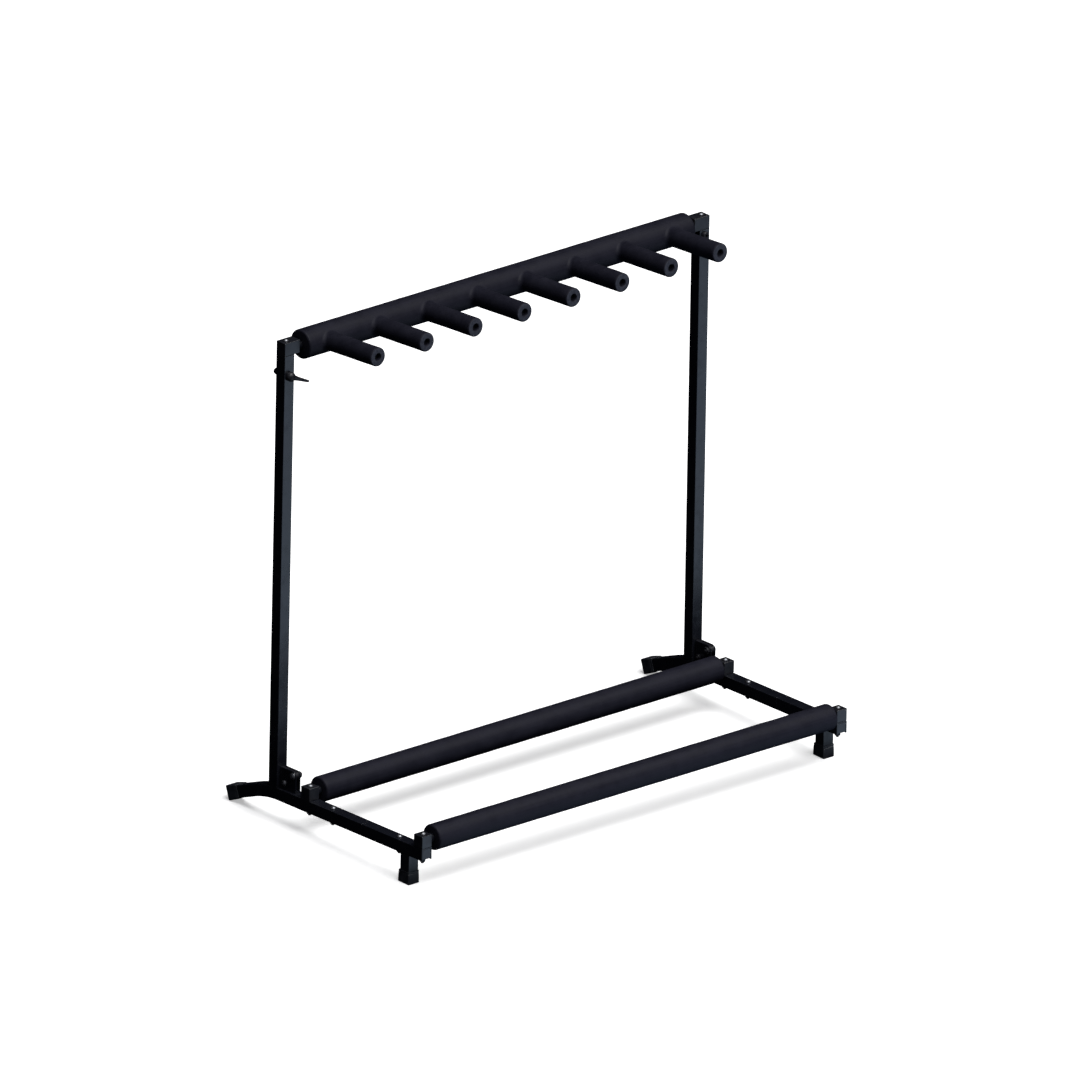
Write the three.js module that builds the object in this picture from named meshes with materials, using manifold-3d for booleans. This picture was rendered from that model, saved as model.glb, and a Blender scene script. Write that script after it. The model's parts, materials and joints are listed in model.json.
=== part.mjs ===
// Folding floor rack for guitars: two square-tube side frames, two padded base bars that the
// instruments stand on, and a padded top bar whose pegs keep the necks apart.
//
// Millimetres, +Z up, front is -Y, left is -X. The frame is drawn square in its own group,
// whose origin is on a side rail's top face at an upright's axis. That group is then leant back
// a little, which sets the boots and the rear caps on the floor at z = 0.
import * as THREE from "three";
import { mergeVertices } from "three/addons/utils/BufferGeometryUtils.js";
import Module from "manifold-3d";

const wasm = await Module();
wasm.setup();

// ---------------------------------------------------------------- driving dimensions
const FIT = 0.3; // clearance left between pieces that touch or fit inside each other
const LEAN = THREE.MathUtils.degToRad(2.1); // how far the whole rack leans back
const HALF_WIDTH = 424.5; // centre of the rack to the axis of an upright

const TUBE = 20; // outer side of the rails and uprights
const WALL = 1.5;
const BORE = TUBE - 2 * WALL;
const PLUG = BORE - 2 * FIT; // square section that slides into a tube

const RAIL_FRONT = -345.5;
const RAIL_MID = -TUBE / 2; // height of a rail's axis
const REAR_BAR_Y = -75;
const FRONT_BAR_Y = -335.5;
const RAIL_JOINT = (REAR_BAR_Y + FRONT_BAR_Y) / 2; // where a rail's two lengths meet
const SPLICE_BOLT_INSET = 53.5; // bar bolt to the splice bolt next to it
const SPLICE = { end: 9.5, inside: 13.4 }; // end is left beyond a splice bolt

const ARM_CORNER_Y = 17.5; // where a rail's axis meets the axis of its bent rear end
const ARM_BEND = THREE.MathUtils.degToRad(20.5);
const ARM_BEND_RADIUS = 160;
const ARM_BEND_STEPS = 7;
const ARM_REACH = 87.3; // from that corner to the arm's end
const CAP = { mouth: 11.2, end: 12.3, length: 24.3, floor: 3 }; // mouth and end are half widths

const POST = { rear: -295.5, front: -315.5, halfWidth: TUBE / 2, bottom: -60.7 };
const NECK_INSET = (TUBE - PLUG) / 2; // the post's neck is this much slimmer, and enters the rail
const BOOT = { rear: -291, front: -317.4, halfWidth: 11.1, top: -47 };
const BOOT_TOP = { rear: -292.4, front: -316.8, halfWidth: 11 };
const SOLE = { y: -305.5, z: -67.2 }; // middle of a boot's sole
const INSERT_REAR = -295;

const PIVOT = { y: -40.5, z: 27, radius: 3 };
const STOP = { y: -21.5, z: 10.5, radius: 2.5 };
const BRACKET = { rear: -12, front: -47, top: 34.5, halfWidth: 5, plate: 2, corner: 8 };
const TONGUE = { halfWidth: 2.5, bottom: 3.2, top: 33.7, ear: 6.2 };
const TONGUE_PLUG = { bottom: 1.5, top: 52 };
const RECESS_END = -Math.PI / 2 - 0.3; // direction from the pivot in which the recess ends

const UPRIGHT_BOTTOM = 0.5;
const UPRIGHT_TOP = 707.7;
const TOP_BAR_Z = 716;
const TOP_BLOCK = [UPRIGHT_TOP + FIT, 729.3]; // bottom and top
const TOP_BLOCK_INNER = 20.7; // reach of a top block from the upright's axis towards the middle
const INSERT_BOTTOM = 648;
const TOP_BOLT_TIP = 690;
const LEVER = { z: 674, boss: 7.5, depth: 9, droop: THREE.MathUtils.degToRad(23.5) };
const LEVER_ARM = { length: 39.5, root: 3.8, tip: 1.8, flatness: 0.8, forward: 5 };
const CLAMP_NUT = { radius: 5.8, height: 10.5, dome: 4.6, domeHeight: 13.5, thread: 6 };
const CLAMP_SCREW = { z: 698.6, radius: 5.8, height: 4.2, hexWay: 2.6, hexFloor: 1.8 };

const BAR_CORE = { wall: 1.5, socket: 15, land: 2 }; // land is left beside the bolt
const BASE_CORE_RADIUS = 8;
const TOP_CORE_RADIUS = 6.5;
const BASE_FOAM = { radius: 20.6, inset: 17.5 };
const TOP_FOAM = { radius: 23.5, inset: 30 };
const FOAM_EDGE = 3; // rounding of a sleeve's outer edge

const PEG_COUNT = 8;
const PEG_PITCH = 100;
const PEG_LENGTH = 130; // from the bar's axis to the tip
const PEG_TILT = THREE.MathUtils.degToRad(3.2);
const PEG = { radius: 15.2, edge: 1.8, stub: 5.5, stubEnd: 123 };

const BOLT = { radius: 2.5, nut: 4.9, nutHeight: 4.2, tail: 2.6 };
const HEAD = { radius: 4.6, height: 2.8, rim: 1.7, crown: 0.75 }; // crown is a share of the radius
const ROUND = 32; // sides of the bar sleeves
const PEG_ROUND = 20;
const SMALL_ROUND = 12;
const OVERRUN = 5; // how far a cutting tool runs past the piece it cuts

// ---------------------------------------------------------------- materials
const finish = (color, roughness, metalness) =>
  new THREE.MeshStandardMaterial({ color, roughness, metalness });
const materials = {
  paint: () => finish(0x1f2230, 0.3, 0.3),
  foam: () => finish(0x1c1c24, 0.85, 0),
  rubber: () => finish(0x17181e, 0.7, 0),
  zinc: () => finish(0xc3c6d0, 0.3, 0.9),
  darkSteel: () => finish(0x1b1c22, 0.4, 0.6),
};

// ---------------------------------------------------------------- solids
function solid(geometry) {
  const bare = geometry.clone();
  bare.deleteAttribute("normal");
  bare.deleteAttribute("uv");
  const merged = mergeVertices(bare, 1e-4);
  const mesh = new wasm.Mesh({
    numProp: 3,
    vertProperties: merged.attributes.position.array,
    triVerts: new Uint32Array(merged.index.array),
  });
  return new wasm.Manifold(mesh);
}

function geometryOf(shape) {
  const { vertProperties, triVerts } = shape.getMesh();
  const geometry = new THREE.BufferGeometry();
  geometry.setAttribute("position", new THREE.BufferAttribute(vertProperties, 3));
  geometry.setIndex(new THREE.BufferAttribute(triVerts, 1));
  geometry.computeVertexNormals();
  return geometry;
}

const join = (...pieces) => geometryOf(pieces.map(solid).reduce((a, b) => a.add(b)));
const cut = (piece, ...tools) =>
  geometryOf(tools.map(solid).reduce((a, b) => a.subtract(b), solid(piece)));

function box(x, y, z) {
  const size = [x, y, z].map(([low, high]) => high - low);
  const middle = [x, y, z].map(([low, high]) => (low + high) / 2);
  return new THREE.BoxGeometry(...size).translate(...middle);
}

const span = (half) => [-half, half];

// A round bar from one point to another.
function rod(radius, from, to, sides = SMALL_ROUND) {
  const start = new THREE.Vector3(...from);
  const run = new THREE.Vector3(...to).sub(start);
  const geometry = new THREE.CylinderGeometry(radius, radius, run.length(), sides);
  geometry.translate(0, run.length() / 2, 0);
  const turn = new THREE.Quaternion();
  turn.setFromUnitVectors(new THREE.Vector3(0, 1, 0), run.normalize());
  return geometry.applyQuaternion(turn).translate(...from);
}

// A shape drawn from the side (its x is the rack's y, its y is the rack's z), as thick as given.
function slab(shape, halfWidth, curveSegments = 4) {
  const geometry = new THREE.ExtrudeGeometry(shape, {
    depth: 2 * halfWidth,
    bevelEnabled: false,
    curveSegments,
  });
  geometry.translate(0, 0, -halfWidth);
  const turn = new THREE.Matrix4().makeBasis(
    new THREE.Vector3(0, 1, 0),
    new THREE.Vector3(0, 0, 1),
    new THREE.Vector3(1, 0, 0),
  );
  return geometry.applyMatrix4(turn);
}

// Block whose top face is the floor, in the square frame of the rack, to trim one foot with.
const floorBlock = () => box(span(TUBE), span(2 * TUBE), [-2 * TUBE, 0]).rotateX(LEAN);
const floorHeight = (y) => SOLE.z + (y - SOLE.y) * Math.tan(LEAN);

// Foam sleeve about the X axis, with rounded outer edges at both ends.
function sleeve(length, radius, bore, sides) {
  const profile = new THREE.Path();
  profile.moveTo(bore, -length / 2);
  profile.lineTo(radius - FOAM_EDGE, -length / 2);
  profile.absarc(radius - FOAM_EDGE, FOAM_EDGE - length / 2, FOAM_EDGE, -Math.PI / 2, 0);
  profile.absarc(radius - FOAM_EDGE, length / 2 - FOAM_EDGE, FOAM_EDGE, 0, Math.PI / 2);
  profile.lineTo(bore, length / 2);
  profile.lineTo(bore, -length / 2);
  return new THREE.LatheGeometry(profile.getPoints(1), sides).rotateZ(Math.PI / 2);
}

// Head and shank of a bolt whose head sits on a surface at z = 0 and whose shank runs down to tip.
function headAndShank(radius, tip) {
  const headRadius = (HEAD.radius * radius) / BOLT.radius;
  return [
    rod(headRadius, [0, 0, FIT], [0, 0, FIT + HEAD.rim]),
    rod(headRadius * HEAD.crown, [0, 0, FIT], [0, 0, FIT + HEAD.height]),
    rod(radius, [0, 0, HEAD.height], [0, 0, tip]),
  ];
}

// Bolt with its nut, which clamp what lies between z = 0 and z = -grip.
function bolt(grip, radius = BOLT.radius) {
  const nutTop = -grip - FIT;
  const nutBottom = nutTop - BOLT.nutHeight;
  const nutRadius = (BOLT.nut * radius) / BOLT.radius;
  const nut = rod(nutRadius, [0, 0, nutTop], [0, 0, nutBottom], 6);
  return join(...headAndShank(radius, nutBottom - BOLT.tail), nut);
}

function node(parent, name, geometry, material, position = [0, 0, 0]) {
  const mesh = new THREE.Mesh(geometry, material());
  mesh.name = name;
  mesh.position.set(...position);
  parent.add(mesh);
  return mesh;
}

// ---------------------------------------------------------------- base frame
const footBolts = [
  REAR_BAR_Y,
  REAR_BAR_Y - SPLICE_BOLT_INSET,
  FRONT_BAR_Y + SPLICE_BOLT_INSET,
  FRONT_BAR_Y,
];
const boltHole = (y, low, high) => rod(BOLT.radius + FIT, [0, y, low], [0, y, high]);

// Side outline of a rail's rear length: straight from the joint, then bent down to the floor.
function armOutline(half, start, reach) {
  const tangent = ARM_BEND_RADIUS * Math.tan(ARM_BEND / 2);
  const bendY = ARM_CORNER_Y - tangent;
  const centreZ = RAIL_MID - ARM_BEND_RADIUS;
  const along = [Math.cos(ARM_BEND), -Math.sin(ARM_BEND)];
  const up = [Math.sin(ARM_BEND), Math.cos(ARM_BEND)];
  const end = [ARM_CORNER_Y + reach * along[0], RAIL_MID + reach * along[1]];
  const quarter = Math.PI / 2;
  const outline = new THREE.Shape();
  outline.moveTo(start, RAIL_MID + half);
  outline.absarc(bendY, centreZ, ARM_BEND_RADIUS + half, quarter, quarter - ARM_BEND, true);
  outline.lineTo(end[0] + half * up[0], end[1] + half * up[1]);
  outline.lineTo(end[0] - half * up[0], end[1] - half * up[1]);
  outline.absarc(bendY, centreZ, ARM_BEND_RADIUS - half, quarter - ARM_BEND, quarter, false);
  outline.lineTo(start, RAIL_MID - half);
  outline.closePath();
  return outline;
}

function rearRail() {
  const start = RAIL_JOINT + FIT / 2;
  const outer = slab(armOutline(TUBE / 2, start, ARM_REACH), TUBE / 2, ARM_BEND_STEPS);
  const inner = slab(
    armOutline(BORE / 2, start - OVERRUN, ARM_REACH + OVERRUN),
    BORE / 2,
    ARM_BEND_STEPS,
  );
  const holes = footBolts.slice(0, 2).map((y) => boltHole(y, -TUBE - OVERRUN, OVERRUN));
  return cut(outer, inner, ...holes);
}

function frontRail() {
  const end = RAIL_JOINT - FIT / 2;
  const outer = box(span(TUBE / 2), [RAIL_FRONT, end], [-TUBE, 0]);
  const inner = box(
    span(BORE / 2),
    [RAIL_FRONT - OVERRUN, end + OVERRUN],
    [WALL - TUBE, -WALL],
  );
  const postSlot = box(
    span(BORE / 2),
    [RAIL_FRONT - OVERRUN, POST.rear - NECK_INSET + FIT],
    [-TUBE - OVERRUN, RAIL_MID],
  );
  const holes = footBolts.slice(2).map((y) => boltHole(y, -TUBE - OVERRUN, OVERRUN));
  return cut(outer, inner, postSlot, ...holes);
}

// Square tube inside a rail that joins its two lengths, held by a bolt in each.
function splice() {
  const bolts = footBolts.slice(1, 3);
  const run = [bolts[1] - SPLICE.end, bolts[0] + SPLICE.end];
  const level = (half) => [RAIL_MID - half, RAIL_MID + half];
  const outer = box(span(PLUG / 2), run, level(PLUG / 2));
  const within = SPLICE.inside / 2;
  const inner = box(span(within), [run[0] - OVERRUN, run[1] + OVERRUN], level(within));
  return cut(outer, inner, ...bolts.map((y) => boltHole(y, -TUBE, 0)));
}

// Rubber cap pushed over the arm's end. Its lowest edge is worn to a flat that lies on the floor.
function rearCap() {
  const end = ARM_REACH + CAP.floor;
  const outer = new THREE.BoxGeometry(1, 1, 1);
  const corners = outer.attributes.position;
  for (let i = 0; i < corners.count; i++) {
    const atEnd = corners.getY(i) > 0;
    const half = atEnd ? CAP.end : CAP.mouth;
    const x = Math.sign(corners.getX(i)) * half;
    const z = Math.sign(corners.getZ(i)) * half;
    corners.setXYZ(i, x, atEnd ? end : end - CAP.length, z);
  }
  const socket = box(
    span(TUBE / 2 + FIT),
    [end - CAP.length - OVERRUN, ARM_REACH + FIT],
    span(TUBE / 2 + FIT),
  );
  const cap = cut(outer, socket).rotateX(-ARM_BEND).translate(0, ARM_CORNER_Y, RAIL_MID);
  const capY = ARM_CORNER_Y + ARM_REACH * Math.cos(ARM_BEND);
  return cut(cap, floorBlock().translate(0, capY, floorHeight(capY)));
}

// Plug in the rail's front end, with the short post of the front foot under it.
function frontFoot() {
  const insert = box(
    span(PLUG / 2),
    [RAIL_FRONT + FIT, INSERT_REAR],
    [RAIL_MID - PLUG / 2, RAIL_MID + PLUG / 2],
  );
  const neck = box(
    span(PLUG / 2),
    [POST.front + NECK_INSET, POST.rear - NECK_INSET],
    [-TUBE - 2 * FIT, RAIL_MID],
  );
  const post = box(span(POST.halfWidth), [POST.front, POST.rear], [POST.bottom, -TUBE - FIT]);
  return cut(join(insert, neck, post), boltHole(FRONT_BAR_Y, -TUBE, 0));
}

function boot() {
  const outer = new THREE.BoxGeometry(1, 1, 1);
  const corners = outer.attributes.position;
  for (let i = 0; i < corners.count; i++) {
    const ring = corners.getZ(i) > 0 ? BOOT_TOP : BOOT;
    const x = Math.sign(corners.getX(i)) * ring.halfWidth;
    const y = corners.getY(i) > 0 ? ring.rear : ring.front;
    const z = corners.getZ(i) > 0 ? BOOT.top : SOLE.z - OVERRUN;
    corners.setXYZ(i, x, y, z);
  }
  const socket = box(
    span(POST.halfWidth + FIT),
    [POST.front - FIT, POST.rear + FIT],
    [POST.bottom - FIT, BOOT.top + OVERRUN],
  );
  return cut(outer, socket, floorBlock().translate(0, SOLE.y, SOLE.z));
}

// Narrow channel on the rail that the upright's tongue turns in.
function bracket() {
  const { rear, front, top, halfWidth, plate, corner } = BRACKET;
  const outline = new THREE.Shape();
  outline.moveTo(rear, FIT);
  outline.lineTo(rear, top);
  outline.lineTo(front + corner, top);
  outline.absarc(front + corner, top - corner, corner, Math.PI / 2, Math.PI, false);
  outline.lineTo(front, FIT);
  outline.closePath();
  const inside = box(
    span(halfWidth - plate),
    [front - OVERRUN, rear + OVERRUN],
    [FIT + plate, top + OVERRUN],
  );
  const holes = [PIVOT, STOP].map(({ y, z, radius }) =>
    rod(radius + FIT, [-TUBE, y, z], [TUBE, y, z]),
  );
  return cut(slab(outline, halfWidth), inside, ...holes);
}

// Bolt through the bracket, centred on it.
function acrossBolt(radius) {
  const grip = 2 * BRACKET.halfWidth;
  return bolt(grip, radius).translate(0, 0, grip / 2);
}

// ---------------------------------------------------------------- bars
const socketDepth = (inner) =>
  Math.min(BAR_CORE.socket, inner - BOLT.radius - BAR_CORE.land);
const coreEnd = (inner) => HALF_WIDTH - inner + socketDepth(inner) - FIT;

// Square end block, drilled for its bolt and bored on the inner side for the bar's core.
function endBlock(side, inner, [bottom, top], centre, coreRadius) {
  const outerX = (side * TUBE) / 2;
  const innerX = -side * inner;
  const block = box(
    [Math.min(outerX, innerX), Math.max(outerX, innerX)],
    span(TUBE / 2),
    [bottom, top],
  );
  const boltWay = rod(BOLT.radius + FIT, [0, 0, bottom - OVERRUN], [0, 0, top + OVERRUN]);
  const socketEnd = innerX + side * socketDepth(inner);
  const socket = rod(
    coreRadius + FIT,
    [socketEnd, 0, centre],
    [innerX - side * OVERRUN, 0, centre],
    PEG_ROUND,
  );
  return cut(block, boltWay, socket);
}

function barCore(inner, radius) {
  const end = coreEnd(inner);
  const inside = radius - BAR_CORE.wall;
  return {
    tube: rod(radius, [-end, 0, 0], [end, 0, 0], PEG_ROUND),
    bore: rod(inside, [-end - OVERRUN, 0, 0], [end + OVERRUN, 0, 0], PEG_ROUND),
  };
}

const pegStations = Array.from(
  { length: PEG_COUNT },
  (_, i) => (i - (PEG_COUNT - 1) / 2) * PEG_PITCH,
);
const pegRun = (length) => [0, -length * Math.cos(PEG_TILT), length * Math.sin(PEG_TILT)];

// The top bar's core with its peg stubs, one welded frame.
function topCore() {
  const { tube, bore } = barCore(TOP_BLOCK_INNER, TOP_CORE_RADIUS);
  const stubs = pegStations.map((x) =>
    rod(PEG.stub, [0, 0, 0], pegRun(PEG.stubEnd), SMALL_ROUND).translate(x, 0, 0),
  );
  return cut(join(tube, ...stubs), bore);
}

function topFoam() {
  const length = 2 * (HALF_WIDTH - TOP_FOAM.inset);
  const tube = sleeve(length, TOP_FOAM.radius, TOP_CORE_RADIUS + FIT, ROUND);
  const ways = pegStations.map((x) =>
    rod(PEG.stub + FIT, [0, 0, 0], pegRun(PEG_LENGTH), SMALL_ROUND).translate(x, 0, 0),
  );
  return cut(tube, ...ways);
}

// Foam sleeve of one peg, along -Y before it is tilted, seated on the round of the bar's sleeve.
function pegFoam() {
  const { radius, edge, stub } = PEG;
  const bore = stub + FIT;
  const profile = new THREE.Path();
  profile.moveTo(bore, 0);
  profile.lineTo(radius, 0);
  profile.lineTo(radius, PEG_LENGTH - edge);
  profile.absarc(radius - edge, PEG_LENGTH - edge, edge, 0, Math.PI / 2);
  profile.lineTo(bore, PEG_LENGTH);
  profile.lineTo(bore, 0);
  const tube = new THREE.LatheGeometry(profile.getPoints(1), PEG_ROUND).rotateX(Math.PI);
  const seat = TOP_FOAM.radius + FIT;
  return cut(tube, rod(seat, [-TUBE, 0, 0], [TUBE, 0, 0], ROUND));
}

// ---------------------------------------------------------------- folding portal
function upright(side) {
  const outer = box(span(TUBE / 2), span(TUBE / 2), [UPRIGHT_BOTTOM, UPRIGHT_TOP]);
  const inner = box(
    span(BORE / 2),
    span(BORE / 2),
    [UPRIGHT_BOTTOM - OVERRUN, UPRIGHT_TOP + OVERRUN],
  );
  const tongueSlot = box(
    span(TONGUE.halfWidth + FIT),
    [-TUBE, 0],
    [UPRIGHT_BOTTOM - OVERRUN, TONGUE.top + FIT],
  );
  const clampWay =
    side < 0
      ? rod(BOLT.radius + FIT, [0, -TUBE, LEVER.z], [0, TUBE, LEVER.z])
      : rod(BOLT.radius + FIT, [0, -TUBE, CLAMP_SCREW.z], [0, 0, CLAMP_SCREW.z]);
  return cut(outer, inner, tongueSlot, clampWay);
}

// Plug in the upright's foot with the flat tongue that reaches forward to the pivot bolt.
// A recess about the pivot clears the stop bolt as the upright swings forward.
function tongue() {
  const plug = box(span(PLUG / 2), span(PLUG / 2), [TONGUE_PLUG.bottom, TONGUE_PLUG.top]);
  const outline = new THREE.Shape();
  outline.moveTo(0, TONGUE.bottom);
  outline.lineTo(0, TONGUE.top);
  outline.lineTo(PIVOT.y, TONGUE.top);
  outline.lineTo(PIVOT.y, TONGUE.bottom);
  outline.closePath();
  const plate = slab(outline, TONGUE.halfWidth);
  const ear = rod(
    TONGUE.ear,
    [-TONGUE.halfWidth, PIVOT.y, PIVOT.z],
    [TONGUE.halfWidth, PIVOT.y, PIVOT.z],
    PEG_ROUND,
  );
  const stopArm = Math.hypot(STOP.y - PIVOT.y, STOP.z - PIVOT.z);
  const stopAngle = Math.atan2(STOP.z - PIVOT.z, STOP.y - PIVOT.y);
  const nearRadius = stopArm - STOP.radius - FIT;
  const farRadius = stopArm + TUBE;
  const recess = new THREE.Shape();
  recess.absarc(PIVOT.y, PIVOT.z, farRadius, RECESS_END, stopAngle, false);
  recess.absarc(PIVOT.y, PIVOT.z, nearRadius, stopAngle, RECESS_END, true);
  recess.closePath();
  const across = ({ y, z, radius }) => rod(radius + FIT, [-TUBE, y, z], [TUBE, y, z]);
  return cut(join(plug, plate, ear), slab(recess, TUBE), across(PIVOT), across(STOP));
}

// ---------------------------------------------------------------- top bar fittings
// Plug under a top block. The slot, open at its foot, lets it drop over the clamp bolt.
function topInsert() {
  const body = box(span(PLUG / 2), span(PLUG / 2), [INSERT_BOTTOM, UPRIGHT_TOP]);
  const slot = box(
    span(BOLT.radius + 2 * FIT),
    span(TUBE),
    [INSERT_BOTTOM - OVERRUN, LEVER.z + BOLT.radius + 2 * FIT],
  );
  const thread = rod(BOLT.radius + FIT, [0, 0, TOP_BOLT_TIP - FIT], [0, 0, UPRIGHT_TOP + OVERRUN]);
  return cut(body, slot, thread);
}

// Bolt down through a top block into its insert.
function topBolt() {
  const top = TOP_BLOCK[1];
  return join(...headAndShank(BOLT.radius, TOP_BOLT_TIP - top)).translate(0, 0, top);
}

// Clamp bolt through the left upright, with a boss and one tapering arm in front.
// Drawn about the bolt's own axis, which runs along Y.
function clampLever() {
  const face = -TUBE / 2 - FIT;
  const boss = rod(LEVER.boss, [0, face, 0], [0, face - LEVER.depth, 0]);
  const { length, root, tip, flatness, forward } = LEVER_ARM;
  const arm = new THREE.CylinderGeometry(tip, root, length, SMALL_ROUND);
  arm.scale(1, 1, flatness).translate(0, length / 2, 0).rotateZ(-Math.PI / 2 - LEVER.droop);
  arm.rotateX(Math.PI / 2).translate(0, face - forward, 0);
  const shankEnd = TUBE / 2 + CLAMP_NUT.thread;
  const shank = rod(BOLT.radius, [0, face - LEVER.depth / 2, 0], [0, shankEnd, 0]);
  return join(boss, arm, shank);
}

function clampNut() {
  const face = TUBE / 2 + FIT;
  const { radius, height, dome, domeHeight, thread } = CLAMP_NUT;
  const body = join(
    rod(radius, [0, face, 0], [0, face + height, 0], 6),
    rod(dome, [0, face, 0], [0, face + domeHeight, 0]),
  );
  return cut(body, rod(BOLT.radius + FIT, [0, 0, 0], [0, face + thread, 0]));
}

// Set screw through the right upright's front wall, with a hexagon socket in its round head.
function clampScrew() {
  const face = -TUBE / 2 - FIT;
  const { radius, height, hexWay, hexFloor } = CLAMP_SCREW;
  const head = rod(radius, [0, face, 0], [0, face - height, 0], PEG_ROUND);
  const shank = rod(BOLT.radius, [0, face - hexFloor / 2, 0], [0, -BORE / 2, 0]);
  const socket = rod(hexWay, [0, face - hexFloor, 0], [0, face - TUBE, 0], 6);
  return cut(join(head, shank), socket);
}

// ---------------------------------------------------------------- assembly
const rack = new THREE.Group();
const base = new THREE.Group();
const portal = new THREE.Group();
const topBar = new THREE.Group();
rack.add(base, portal, topBar);

const sides = [
  { side: -1, label: "left" },
  { side: 1, label: "right" },
];

for (const { side, label } of sides) {
  const foot = new THREE.Group();
  foot.position.x = side * HALF_WIDTH;
  base.add(foot);
  node(foot, `rear_rail_${label}`, rearRail(), materials.paint);
  node(foot, `front_rail_${label}`, frontRail(), materials.paint);
  node(foot, `rail_splice_${label}`, splice(), materials.paint);
  node(foot, `rear_cap_${label}`, rearCap(), materials.rubber);
  node(foot, `front_foot_${label}`, frontFoot(), materials.paint);
  node(foot, `boot_${label}`, boot(), materials.rubber);
  node(foot, `bracket_${label}`, bracket(), materials.paint);

  // The pivot and stop bolts have their heads outside and their nuts inside.
  const across = new THREE.Group();
  across.rotation.y = (side * Math.PI) / 2;
  foot.add(across);
  const alongAxis = ({ y, z }) => [-side * z, y, 0];
  const pivotBolt = acrossBolt(PIVOT.radius);
  const stopBolt = acrossBolt(STOP.radius);
  node(across, `pivot_bolt_${label}`, pivotBolt, materials.zinc, alongAxis(PIVOT));
  node(across, `stop_bolt_${label}`, stopBolt, materials.zinc, alongAxis(STOP));

  const bars = { rear: REAR_BAR_Y, front: FRONT_BAR_Y };
  for (const [place, y] of Object.entries(bars)) {
    const ends = [FIT, FIT + TUBE];
    const block = endBlock(side, TUBE / 2, ends, FIT + TUBE / 2, BASE_CORE_RADIUS);
    node(foot, `${place}_block_${label}`, block, materials.paint, [0, y, 0]);
    const top = FIT + TUBE;
    const barBolt = bolt(TUBE + top);
    node(foot, `${place}_bar_bolt_${label}`, barBolt, materials.zinc, [0, y, top]);
  }
  const spliceBolts = { rear: footBolts[1], front: footBolts[2] };
  for (const [place, y] of Object.entries(spliceBolts)) {
    node(foot, `${place}_splice_bolt_${label}`, bolt(TUBE), materials.zinc, [0, y, 0]);
  }

  const leg = new THREE.Group();
  leg.position.x = side * HALF_WIDTH;
  portal.add(leg);
  node(leg, `upright_${label}`, upright(side), materials.paint);
  node(leg, `tongue_${label}`, tongue(), materials.paint);

  const head = new THREE.Group();
  head.position.x = side * HALF_WIDTH;
  topBar.add(head);
  const topBlock = endBlock(side, TOP_BLOCK_INNER, TOP_BLOCK, TOP_BAR_Z, TOP_CORE_RADIUS);
  node(head, `top_block_${label}`, topBlock, materials.paint);
  node(head, `top_insert_${label}`, topInsert(), materials.darkSteel);
  node(head, `top_bolt_${label}`, topBolt(), materials.zinc);
}

const leftClamp = [-HALF_WIDTH, 0, LEVER.z];
node(portal, "clamp_lever", clampLever(), materials.darkSteel, leftClamp);
node(portal, "clamp_nut", clampNut(), materials.darkSteel, leftClamp);
node(portal, "clamp_screw", clampScrew(), materials.paint, [HALF_WIDTH, 0, CLAMP_SCREW.z]);

const barZ = FIT + TUBE / 2;
const baseFoamLength = 2 * (HALF_WIDTH - BASE_FOAM.inset);
for (const [place, y] of Object.entries({ rear: REAR_BAR_Y, front: FRONT_BAR_Y })) {
  const { tube, bore } = barCore(TUBE / 2, BASE_CORE_RADIUS);
  node(base, `${place}_bar_core`, cut(tube, bore), materials.paint, [0, y, barZ]);
  const foam = sleeve(baseFoamLength, BASE_FOAM.radius, BASE_CORE_RADIUS + FIT, ROUND);
  node(base, `${place}_bar_foam`, foam, materials.foam, [0, y, barZ]);
}

node(topBar, "top_bar_core", topCore(), materials.paint, [0, 0, TOP_BAR_Z]);
node(topBar, "top_bar_foam", topFoam(), materials.foam, [0, 0, TOP_BAR_Z]);
pegStations.forEach((x, i) => {
  const place = [x, 0, TOP_BAR_Z];
  const peg = node(topBar, `peg_foam_${i + 1}`, pegFoam(), materials.foam, place);
  peg.rotation.x = -PEG_TILT;
});

// Lean the rack back and stand it on the floor, with the origin under the middle of its box.
rack.rotation.x = -LEAN;
rack.updateMatrixWorld(true);
const bounds = new THREE.Box3().setFromObject(rack, true);
const middle = bounds.getCenter(new THREE.Vector3());
rack.position.set(-middle.x, -middle.y, -bounds.min.z);

export default rack;
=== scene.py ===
"""The looks of a folding guitar rack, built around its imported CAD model.

The rack stands a little leant back. Every piece is made in the rack's own square frame (metres,
x to the right, y to the back, z up along the uprights, origin where an upright's axis meets the
top of its rail), and RACK places it in the model's frame.
"""

import json
import math

import bmesh
import bpy
from mathutils import Matrix, Vector, noise


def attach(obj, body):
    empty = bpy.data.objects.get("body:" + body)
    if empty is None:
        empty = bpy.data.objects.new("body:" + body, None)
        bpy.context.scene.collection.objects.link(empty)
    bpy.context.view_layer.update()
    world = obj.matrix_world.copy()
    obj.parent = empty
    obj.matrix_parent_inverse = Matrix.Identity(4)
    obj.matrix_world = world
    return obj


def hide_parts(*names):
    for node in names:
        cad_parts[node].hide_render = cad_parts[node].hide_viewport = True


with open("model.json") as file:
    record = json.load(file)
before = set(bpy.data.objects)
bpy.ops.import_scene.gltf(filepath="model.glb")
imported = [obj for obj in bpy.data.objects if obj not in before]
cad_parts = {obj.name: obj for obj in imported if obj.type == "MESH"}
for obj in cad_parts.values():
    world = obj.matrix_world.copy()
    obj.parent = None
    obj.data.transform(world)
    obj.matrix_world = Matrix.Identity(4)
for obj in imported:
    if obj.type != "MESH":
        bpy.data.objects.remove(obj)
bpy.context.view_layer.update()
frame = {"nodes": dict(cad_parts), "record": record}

MM = 0.001
SIDES = {"left": -1, "right": 1}
behaviour = frame["record"]["behaviour"]
joints = {joint["name"]: joint for joint in behaviour["joints"]}
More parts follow.
